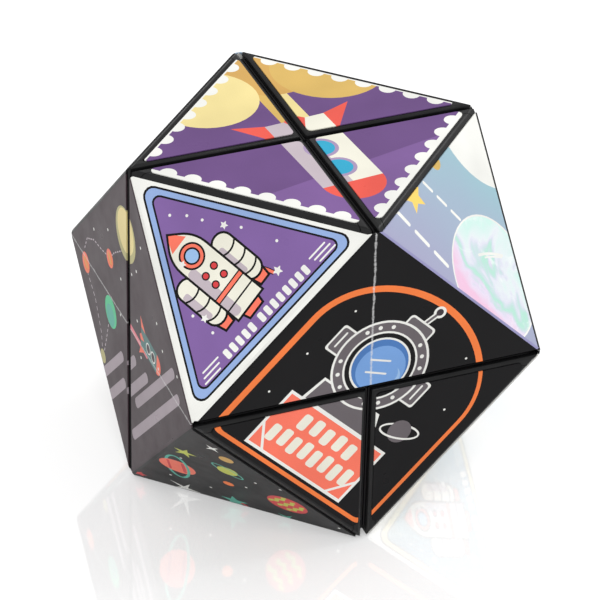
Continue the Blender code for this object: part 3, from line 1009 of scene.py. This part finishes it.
def fold_over(film, to_row, axis, corners, piece, edge_ink):
    """The rounded edge between a quarter face and the cut corner, in the cube's own axes.

    On the x side it runs from the hinge plane z = 0 to the loose edge beside y = 0. On the y side it runs
    from the loose edge beside z = 0 to the hinge plane x = 0.
    """
    outward = Vector((1, 0, 0)) if axis == 0 else Vector((0, 1, 0))
    diagonal = Vector((1, 1, 1)).normalized()
    end_axis, end_corner = (1, corners[1]) if axis == 0 else (0, corners[2])
    start_low, end_low = (HINGE_GAP, LOOSE) if axis == 0 else (LOOSE, HINGE_GAP)
    rows = []
    for step in range(FOLD_STEPS + 1):
        share = step / FOLD_STEPS
        bulge = outward.slerp(diagonal, share) * FOLD
        row = []
        ends = ((2, start_low + (corners[0].z - start_low) * share),)
        ends += ((end_axis, end_low + (end_corner[end_axis] - end_low) * share),)
        for known, value in ends:
            point = Vector((0, 0, 0))
            point[axis] = HALF - FOLD
            point[known] = value - bulge[known]
            point[3 - axis - known] = FLAT_REACH - point[known]
            row.append(point + bulge)
        rows.append(row)
    side = side_of(to_row.to_3x3() @ outward)
    flip = to_row.determinant() < 0
    for step in range(FOLD_STEPS):
        points = [rows[step][0], rows[step][1], rows[step + 1][1], rows[step + 1][0]]
        if (points[1] - points[0]).cross(points[2] - points[1]).dot(outward) < 0:
            points.reverse()
        if flip:
            points.reverse()
        uvs = [(NO_CREASE + p.x + p.z, p.y - p.z) for p in points]
        name = SQUARE_FIELD[side] if step < SQUARE_FLATS.get((piece, side), FOLD_STEPS / 2) else edge_ink
        film.add_face([to_row @ p for p in points], uvs, name)


def face_sticker(piece, signs):
    """The separate sticker on the side that no hinge touches."""
    to_row = template(signs)
    side = side_of(to_row.to_3x3() @ Vector((0, 0, 1)))
    far = HALF - STICKER_RIDGE * math.sqrt(2) - STICKER_EDGE
    corners = [(STICKER_EDGE, STICKER_EDGE), (far, STICKER_EDGE), (STICKER_EDGE, far)]
    place = square_plane(side)
    back = place.inverted()
    outline = [(back @ (to_row @ Vector((*p, HALF)))).to_2d() for p in rounded(corners, STICKER_RADIUS)]
    film = Film(piece + "_sticker")
    place = place @ Matrix.Translation((0, 0, -STICKER_DROP))
    film.panel(place, outline, on_square(STICKER_PICTURES[side]))
    slot = "purple_print" if side == "top" else "night_print"
    film.build(piece, slot, piece + "_face_sticker", thickness=STICKER_THICKNESS)


def inner_label(piece, signs, index):
    """The label over the three inner squares, folded where they meet."""
    to_row = template(signs)
    turn = to_row.to_3x3()
    film = Film(piece + "_inner_print")
    middle = (LABEL_FACE + LABEL_FAR) / 2
    half = middle - LABEL_FACE
    square = rectangle(-half, -half, half, half)
    outline = rounded(square, 0.01, 1)[:4]  # the two corners by the folds, all but sharp
    outline += rounded(square, LABEL_RADIUS)[12:18]  # the free corner
    outline += [Vector(square[3])]
    for axis in range(3):
        right, up = Vector((0, 0, 0)), Vector((0, 0, 0))
        right[(axis + 1) % 3] = 1
        up[(axis + 2) % 3] = 1
        normal = Vector((0, 0, 0))
        normal[axis] = -1
        centre = (right + up) * middle - normal * LABEL_FACE
        world = plane(to_row @ centre, turn @ right, turn @ up, turn @ normal)
        if world.to_3x3().determinant() < 0:
            world = plane(to_row @ centre, turn @ up, turn @ right, turn @ normal)
        film.panel(world, outline, moved(inner_picture(index + axis), scale=half))
    film.build(piece, "sky_print" if signs[0] == LEFT else "purple_print", piece + "_inner_label")


# ---- the CAD shells and magnets ----


def smooth_group():
    """Geometry nodes that join the shell's faces and smooth all but its sharp edges."""
    group = bpy.data.node_groups.new("smooth_moulding", "GeometryNodeTree")
    group.interface.new_socket("Geometry", in_out="INPUT", socket_type="NodeSocketGeometry")
    group.interface.new_socket("Geometry", in_out="OUTPUT", socket_type="NodeSocketGeometry")
    add = group.nodes.new
    start, end = add("NodeGroupInput"), add("NodeGroupOutput")
    weld = add("GeometryNodeMergeByDistance")
    weld.inputs["Distance"].default_value = WELD * METRE
    smooth, sharp = add("GeometryNodeSetShadeSmooth"), add("GeometryNodeSetShadeSmooth")
    sharp.domain = "EDGE"
    sharp.inputs["Shade Smooth"].default_value = False
    angle, compare = add("GeometryNodeInputMeshEdgeAngle"), add("FunctionNodeCompare")
    compare.operation = "GREATER_THAN"
    compare.inputs[1].default_value = math.radians(32)
    link = group.links.new
    link(start.outputs[0], weld.inputs["Geometry"])
    link(weld.outputs[0], smooth.inputs["Geometry"])
    link(smooth.outputs[0], sharp.inputs["Geometry"])
    link(angle.outputs["Unsigned Angle"], compare.inputs[0])
    link(compare.outputs[0], sharp.inputs["Selection"])
    link(sharp.outputs[0], end.inputs[0])
    return group


def dress_cad_nodes():
    """Gives the shells and magnets their materials and smooth normals. Their meshes stay as they are."""
    black = moulded_plastic("black_moulding", (0.062, 0.062, 0.065), 0.34)
    nickel = nickel_plate()
    group = smooth_group()
    for name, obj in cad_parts.items():
        if name.endswith(("_shell", "_magnet")):
            obj.data.materials.clear()
            obj.data.materials.append(black if name.endswith("_shell") else nickel)
            obj.modifiers.new("smooth", "NODES").node_group = group
            obj.modifiers.new("flat sides", "WEIGHTED_NORMAL").keep_sharp = True


# ---- floor, light and camera ----


FLOOR_REACH = 3.0
FLOOR_HEIGHT = -0.0002


def make_floor():
    """A white sheet. It is part see-through, and glows for the camera only, so that it stays white."""
    mesh = bpy.data.meshes.new("floor")
    signs = ((-1, -1), (1, -1), (1, 1), (-1, 1))
    corners = [(x * FLOOR_REACH, y * FLOOR_REACH, FLOOR_HEIGHT) for x, y in signs]
    mesh.from_pydata(corners, [], [(0, 1, 2, 3)])
    floor = put("floor", mesh)
    n = Nodes("white_acrylic")
    n.set(Base_Color=(0.93, 0.93, 0.93, 1), IOR=3.2, Alpha=0.82)
    seen = n.add("ShaderNodeLightPath").outputs["Is Camera Ray"]
    n.set(Emission_Color=(1.0, 1.0, 1.0, 1), Emission_Strength=n.math("MULTIPLY", seen, 0.24))
    n.set(Roughness=n.drift(0.03, 0.06, n.place(), 30.0))
    mesh.materials.append(n.material)


def area_light(name, place, target, size, watts):
    light = bpy.data.lights.new(name, "AREA")
    light.shape = "DISK"
    light.size = size
    light.energy = watts
    obj = put(name, light)
    obj.location = place
    obj.rotation_mode = "QUATERNION"
    obj.rotation_quaternion = (Vector(target) - Vector(place)).to_track_quat("-Z", "Y")


def make_light():
    """An even white studio with two soft lamps. The camera sees the background as pure white."""
    world = bpy.data.worlds.new("studio")
    world.use_nodes = True
    shade = world.node_tree.nodes["Background"]
    shade.inputs["Color"].default_value = (1, 1, 1, 1)
    brighter = world.node_tree.nodes.new("ShaderNodeMapRange")
    brighter.inputs["To Min"].default_value = 0.74
    brighter.inputs["To Max"].default_value = 1.0
    seen = world.node_tree.nodes.new("ShaderNodeLightPath").outputs["Is Camera Ray"]
    world.node_tree.links.new(seen, brighter.inputs["Value"])
    world.node_tree.links.new(brighter.outputs["Result"], shade.inputs["Strength"])
    bpy.context.scene.world = world
    middle = (0, 0, HALF * METRE)
    area_light("key", (-0.30, -0.50, 0.75), middle, 0.5, 3.2)
    area_light("side", (0.60, 0.05, 0.55), middle, 0.5, 2.2)
    bpy.context.scene.view_settings.view_transform = "Standard"


AZIMUTH, ELEVATION, ROLL = -22.43, 33.62, 1.44  # degrees
DISTANCE = 0.5658  # metres from what it aims at
LENS = 205.6
AIM_ACROSS, AIM_UP = -0.00004, -0.00147  # from the puzzle's middle, in metres


def make_camera():
    azimuth, elevation, roll = (math.radians(v) for v in (AZIMUTH, ELEVATION, ROLL))
    level = math.cos(elevation)
    back = Vector((math.sin(azimuth) * level, -math.cos(azimuth) * level, math.sin(elevation)))
    right = Vector((math.cos(azimuth), math.sin(azimuth), 0))
    up = back.cross(right)
    aim = Vector((0, 0, HALF * METRE)) + right * AIM_ACROSS + up * AIM_UP
    turned_right = right * math.cos(roll) + up * math.sin(roll)
    data = bpy.data.cameras.new("camera")
    data.lens = LENS
    data.sensor_width = 36
    data.clip_start = 0.05
    camera = put("camera", data)
    camera.matrix_world = plane(aim + back * DISTANCE, turned_right, back.cross(turned_right), back)
    bpy.context.scene.camera = camera


def main():
    make_camera()
    make_light()
    make_floor()
    dress_cad_nodes()
    for name, (side, crease, first, second) in HINGES.items():
        hinge_film(name, side, crease, first)
    half_hinge_film("bottom_left_front_hinge_film", "bottom", (-1, 0), "bottom_front_left", 1)
    half_hinge_film("bottom_left_back_hinge_film", "bottom", (-1, 0), "bottom_back_left", -1)
    for index, (piece, signs) in enumerate(PIECES.items()):
        corner_film(piece, signs)
        face_sticker(piece, signs)
        inner_label(piece, signs, 3 * index + index // 2)


main()
